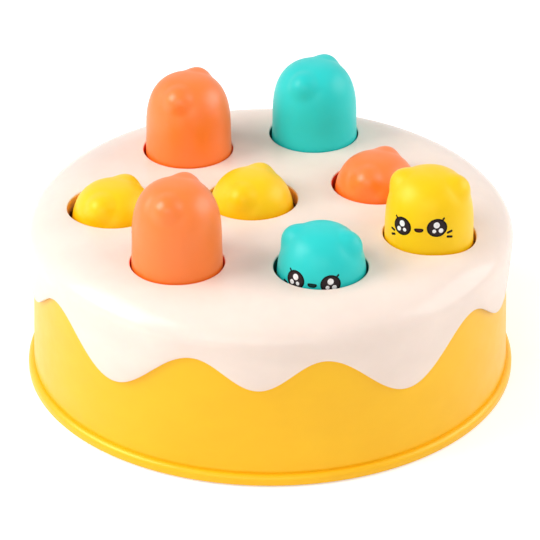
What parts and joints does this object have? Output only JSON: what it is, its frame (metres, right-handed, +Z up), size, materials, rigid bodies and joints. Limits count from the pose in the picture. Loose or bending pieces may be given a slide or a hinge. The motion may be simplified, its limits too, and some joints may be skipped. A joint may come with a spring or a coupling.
{
  "type": "whack-a-mole toy",
  "caption": "Round iced-cake toy: domed moles with ears stand in holes in a drip-edged cap, and pressing one lifts its partner through a rocker.",
  "frame": {"origin": "centre of the base, on the plane that the rubber feet stand on", "axes": "+Z up through the cake, +X to the right and +Y away from a viewer in front"},
  "size_m": [0.2, 0.2, 0.1074],
  "materials": {
    "icing": "satin",
    "base": "satin",
    "mole_coral": "soft sheen",
    "mole_teal": "soft sheen",
    "mole_yellow": "soft sheen",
    "inner_plastic": "moulded",
    "steel": "plated",
    "rubber": "moulded"
  },
  "bodies": {
    "housing": {"icing_cap": "icing", "cake_base": "base", "floor_cover": "base", "guide_plate": "inner_plastic", "rocker_pin_back_left": "steel", "rocker_pin_back_right": "steel", "rocker_pin_front_left": "steel", "rocker_pin_front_right": "steel", "case_screw_1": "steel", "case_screw_2": "steel", "case_screw_3": "steel", "case_screw_4": "steel", "case_screw_5": "steel", "case_screw_6": "steel", "rubber_foot_1": "rubber", "rubber_foot_2": "rubber", "rubber_foot_3": "rubber", "rubber_foot_4": "rubber", "rubber_foot_5": "rubber", "rubber_foot_6": "rubber"},
    "rocker_back_left": {"rocker_back_left": "inner_plastic"},
    "plunger_back_left": {"plunger_back_left": "inner_plastic", "plunger_foot_back_left": "inner_plastic"},
    "mole_back_left": {"mole_head_back_left": "mole_coral"},
    "plunger_centre": {"plunger_centre": "inner_plastic", "plunger_foot_centre": "inner_plastic"},
    "mole_centre": {"mole_head_centre": "mole_yellow"},
    "rocker_back_right": {"rocker_back_right": "inner_plastic"},
    "plunger_back_right": {"plunger_back_right": "inner_plastic", "plunger_foot_back_right": "inner_plastic"},
    "mole_back_right": {"mole_head_back_right": "mole_teal"},
    "plunger_right": {"plunger_right": "inner_plastic", "plunger_foot_right": "inner_plastic"},
    "mole_right": {"mole_head_right": "mole_coral"},
    "rocker_front_left": {"rocker_front_left": "inner_plastic"},
    "plunger_front_left": {"plunger_front_left": "inner_plastic", "plunger_foot_front_left": "inner_plastic"},
    "mole_front_left": {"mole_head_front_left": "mole_coral"},
    "plunger_left": {"plunger_left": "inner_plastic", "plunger_foot_left": "inner_plastic"},
    "mole_left": {"mole_head_left": "mole_yellow"},
    "rocker_front_right": {"rocker_front_right": "inner_plastic"},
    "plunger_front_right": {"plunger_front_right": "inner_plastic", "plunger_foot_front_right": "inner_plastic"},
    "mole_front_right": {"mole_head_front_right": "mole_yellow"},
    "plunger_front": {"plunger_front": "inner_plastic", "plunger_foot_front": "inner_plastic"},
    "mole_front": {"mole_head_front": "mole_teal"}
  },
  "joints": [
    {"name": "rocker_back_left_tilt", "type": "hinge", "parent": "housing", "child": "rocker_back_left", "pos_m": [-0.02079, 0.02575, 0.0196], "axis": [-0.859, -0.512, 0], "range_deg": [-3.5, 51.9]},
    {"name": "mole_back_left_slide", "type": "slide", "parent": "housing", "child": "plunger_back_left", "axis": [0, 0, 1], "range_m": [-0.023, 0.0016]},
    {"name": "mole_back_left_swivel", "type": "hinge", "parent": "plunger_back_left", "child": "mole_back_left", "pos_m": [-0.0342, 0.04825, 0.09], "axis": [0, 0, 1], "continuous": true},
    {"name": "mole_centre_slide", "type": "slide", "parent": "housing", "child": "plunger_centre", "axis": [0, 0, 1], "range_m": [-0.0016, 0.023]},
    {"name": "mole_centre_swivel", "type": "hinge", "parent": "plunger_centre", "child": "mole_centre", "pos_m": [-0.00738, 0.00325, 0.09], "axis": [0, 0, 1], "continuous": true},
    {"name": "rocker_back_right_tilt", "type": "hinge", "parent": "housing", "child": "rocker_back_right", "pos_m": [0.03107, 0.03972, 0.0196], "axis": [-0.8749, -0.4843, 0], "range_deg": [-5.3, 50.2]},
    {"name": "mole_back_right_slide", "type": "slide", "parent": "housing", "child": "plunger_back_right", "axis": [0, 0, 1], "range_m": [-0.0223, 0.0024]},
    {"name": "mole_back_right_swivel", "type": "hinge", "parent": "plunger_back_right", "child": "mole_back_right", "pos_m": [0.01837, 0.06267, 0.09], "axis": [0, 0, 1], "continuous": true},
    {"name": "mole_right_slide", "type": "slide", "parent": "housing", "child": "plunger_right", "axis": [0, 0, 1], "range_m": [-0.0024, 0.0223]},
    {"name": "mole_right_swivel", "type": "hinge", "parent": "plunger_right", "child": "mole_right", "pos_m": [0.04378, 0.01677, 0.09], "axis": [0, 0, 1], "continuous": true},
    {"name": "rocker_front_left_tilt", "type": "hinge", "parent": "housing", "child": "rocker_front_left", "pos_m": [-0.0499, -0.02661, 0.0196], "axis": [0.8624, 0.5063, 0], "range_deg": [0, 55.5]},
    {"name": "mole_front_left_slide", "type": "slide", "parent": "housing", "child": "plunger_front_left", "axis": [0, 0, 1], "range_m": [-0.0244, 0]},
    {"name": "mole_front_left_swivel", "type": "hinge", "parent": "plunger_front_left", "child": "mole_front_left", "pos_m": [-0.03642, -0.04957, 0.09], "axis": [0, 0, 1], "continuous": true},
    {"name": "mole_left_slide", "type": "slide", "parent": "housing", "child": "plunger_left", "axis": [0, 0, 1], "range_m": [0, 0.0244]},
    {"name": "mole_left_swivel", "type": "hinge", "parent": "plunger_left", "child": "mole_left", "pos_m": [-0.06338, -0.00365, 0.09], "axis": [0, 0, 1], "continuous": true},
    {"name": "rocker_front_right_tilt", "type": "hinge", "parent": "housing", "child": "rocker_front_right", "pos_m": [0.04165, -0.0395, 0.0196], "axis": [-0.5326, 0.8463, 0], "range_deg": [-16.2, 39.3]},
    {"name": "mole_front_right_slide", "type": "slide", "parent": "housing", "child": "plunger_front_right", "axis": [0, 0, 1], "range_m": [-0.0175, 0.0072]},
    {"name": "mole_front_right_swivel", "type": "hinge", "parent": "plunger_front_right", "child": "mole_front_right", "pos_m": [0.06344, -0.02579, 0.09], "axis": [0, 0, 1], "continuous": true},
    {"name": "mole_front_slide", "type": "slide", "parent": "housing", "child": "plunger_front", "axis": [0, 0, 1], "range_m": [-0.0072, 0.0175]},
    {"name": "mole_front_swivel", "type": "hinge", "parent": "plunger_front", "child": "mole_front", "pos_m": [0.01987, -0.05321, 0.09], "axis": [0, 0, 1], "continuous": true}
  ],
  "couplings": [
    {"joint": "mole_back_left_slide", "follows": "rocker_back_left_tilt", "m_per_rad": -0.0253},
    {"joint": "mole_centre_slide", "follows": "rocker_back_left_tilt", "m_per_rad": 0.0253},
    {"joint": "mole_back_right_slide", "follows": "rocker_back_right_tilt", "m_per_rad": -0.02534},
    {"joint": "mole_right_slide", "follows": "rocker_back_right_tilt", "m_per_rad": 0.02534},
    {"joint": "mole_front_left_slide", "follows": "rocker_front_left_tilt", "m_per_rad": -0.02518},
    {"joint": "mole_left_slide", "follows": "rocker_front_left_tilt", "m_per_rad": 0.02518},
    {"joint": "mole_front_right_slide", "follows": "rocker_front_right_tilt", "m_per_rad": -0.02543},
    {"joint": "mole_front_slide", "follows": "rocker_front_right_tilt", "m_per_rad": 0.02543}
  ]
}
